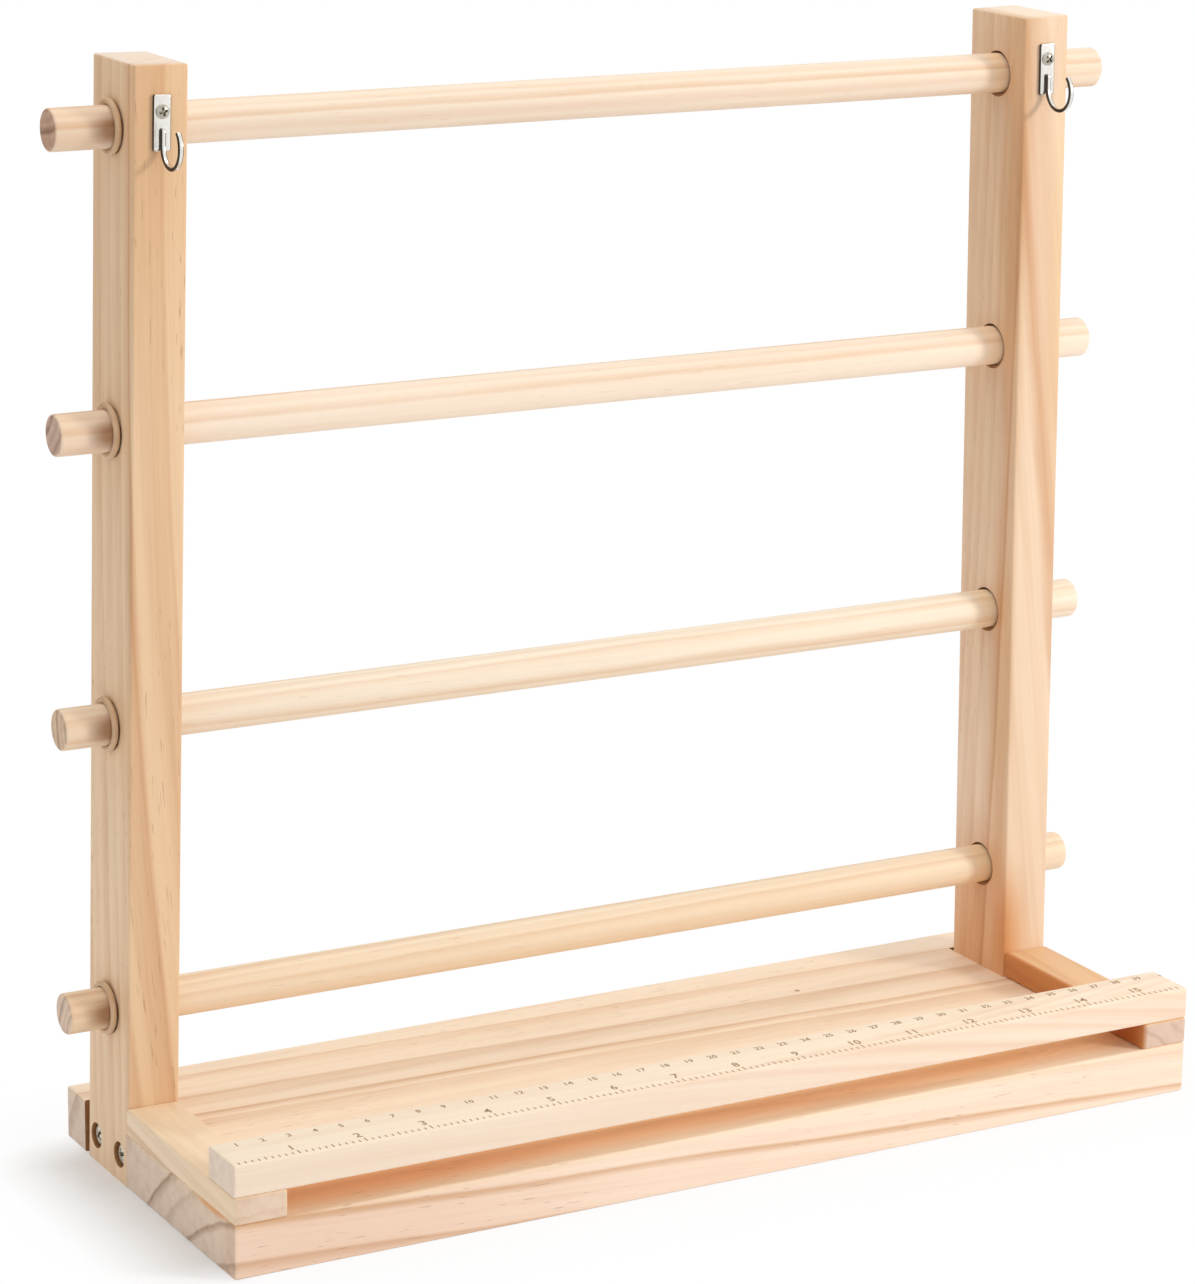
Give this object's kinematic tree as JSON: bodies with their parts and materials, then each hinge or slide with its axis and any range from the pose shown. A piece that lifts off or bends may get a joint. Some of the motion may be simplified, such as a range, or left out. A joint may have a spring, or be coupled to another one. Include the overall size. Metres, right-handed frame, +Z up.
{
  "type": "ribbon rack",
  "caption": "Table-top wooden rack with turning dowels for ribbon spools between two uprights, a ruler bar over a ribbon slot, rubber stop rings and small metal hooks.",
  "frame": {"origin": "middle of the base's footprint, on the table", "axes": "+X to the rack's right along the dowels, -Y to the front, +Z up"},
  "size_m": [0.432, 0.15, 0.4039],
  "materials": {
    "pine": "satin",
    "pine_bar": "satin",
    "dowel_wood": "satin",
    "rubber": "satin",
    "hook_metal": "bright",
    "screw_metal": "satin"
  },
  "bodies": {
    "rack": {"base_plank": "pine", "left_upright": "pine", "right_upright": "pine", "left_rail": "pine", "right_rail": "pine", "ruler_bar": "pine_bar", "left_hook": "hook_metal", "right_hook": "hook_metal", "left_hook_screw": "hook_metal", "right_hook_screw": "hook_metal", "left_upright_screw_1": "screw_metal", "left_upright_screw_2": "screw_metal", "right_upright_screw_1": "screw_metal", "right_upright_screw_2": "screw_metal", "left_front_screw": "screw_metal", "right_front_screw": "screw_metal", "left_rear_screw": "screw_metal", "right_rear_screw": "screw_metal"},
    "left_stop_1": {"left_ring_1": "rubber"},
    "spool_dowel_1": {"dowel_1": "dowel_wood"},
    "right_stop_1": {"right_ring_1": "rubber"},
    "left_stop_2": {"left_ring_2": "rubber"},
    "spool_dowel_2": {"dowel_2": "dowel_wood"},
    "right_stop_2": {"right_ring_2": "rubber"},
    "left_stop_3": {"left_ring_3": "rubber"},
    "spool_dowel_3": {"dowel_3": "dowel_wood"},
    "right_stop_3": {"right_ring_3": "rubber"},
    "left_stop_4": {"left_ring_4": "rubber"},
    "spool_dowel_4": {"dowel_4": "dowel_wood"},
    "right_stop_4": {"right_ring_4": "rubber"}
  },
  "joints": [
    {"name": "dowel_1_draw", "type": "slide", "parent": "rack", "child": "left_stop_1", "axis": [-1, 0, 0], "range_m": [0, 0.395]},
    {"name": "dowel_1_turn", "type": "hinge", "parent": "left_stop_1", "child": "spool_dowel_1", "pos_m": [0, 0.037, 0.38091], "axis": [1, 0, 0], "continuous": true},
    {"name": "right_ring_1_off", "type": "slide", "parent": "rack", "child": "right_stop_1", "axis": [1, 0, 0], "range_m": [0, 0.03]},
    {"name": "dowel_2_draw", "type": "slide", "parent": "rack", "child": "left_stop_2", "axis": [-1, 0, 0], "range_m": [0, 0.395]},
    {"name": "dowel_2_turn", "type": "hinge", "parent": "left_stop_2", "child": "spool_dowel_2", "pos_m": [0, 0.037, 0.27494], "axis": [1, 0, 0], "continuous": true},
    {"name": "right_ring_2_off", "type": "slide", "parent": "rack", "child": "right_stop_2", "axis": [1, 0, 0], "range_m": [0, 0.03]},
    {"name": "dowel_3_draw", "type": "slide", "parent": "rack", "child": "left_stop_3", "axis": [-1, 0, 0], "range_m": [0, 0.395]},
    {"name": "dowel_3_turn", "type": "hinge", "parent": "left_stop_3", "child": "spool_dowel_3", "pos_m": [0, 0.037, 0.16897], "axis": [1, 0, 0], "continuous": true},
    {"name": "right_ring_3_off", "type": "slide", "parent": "rack", "child": "right_stop_3", "axis": [1, 0, 0], "range_m": [0, 0.03]},
    {"name": "dowel_4_draw", "type": "slide", "parent": "rack", "child": "left_stop_4", "axis": [-1, 0, 0], "range_m": [0, 0.395]},
    {"name": "dowel_4_turn", "type": "hinge", "parent": "left_stop_4", "child": "spool_dowel_4", "pos_m": [0, 0.037, 0.063], "axis": [1, 0, 0], "continuous": true},
    {"name": "right_ring_4_off", "type": "slide", "parent": "rack", "child": "right_stop_4", "axis": [1, 0, 0], "range_m": [0, 0.03]}
  ]
}
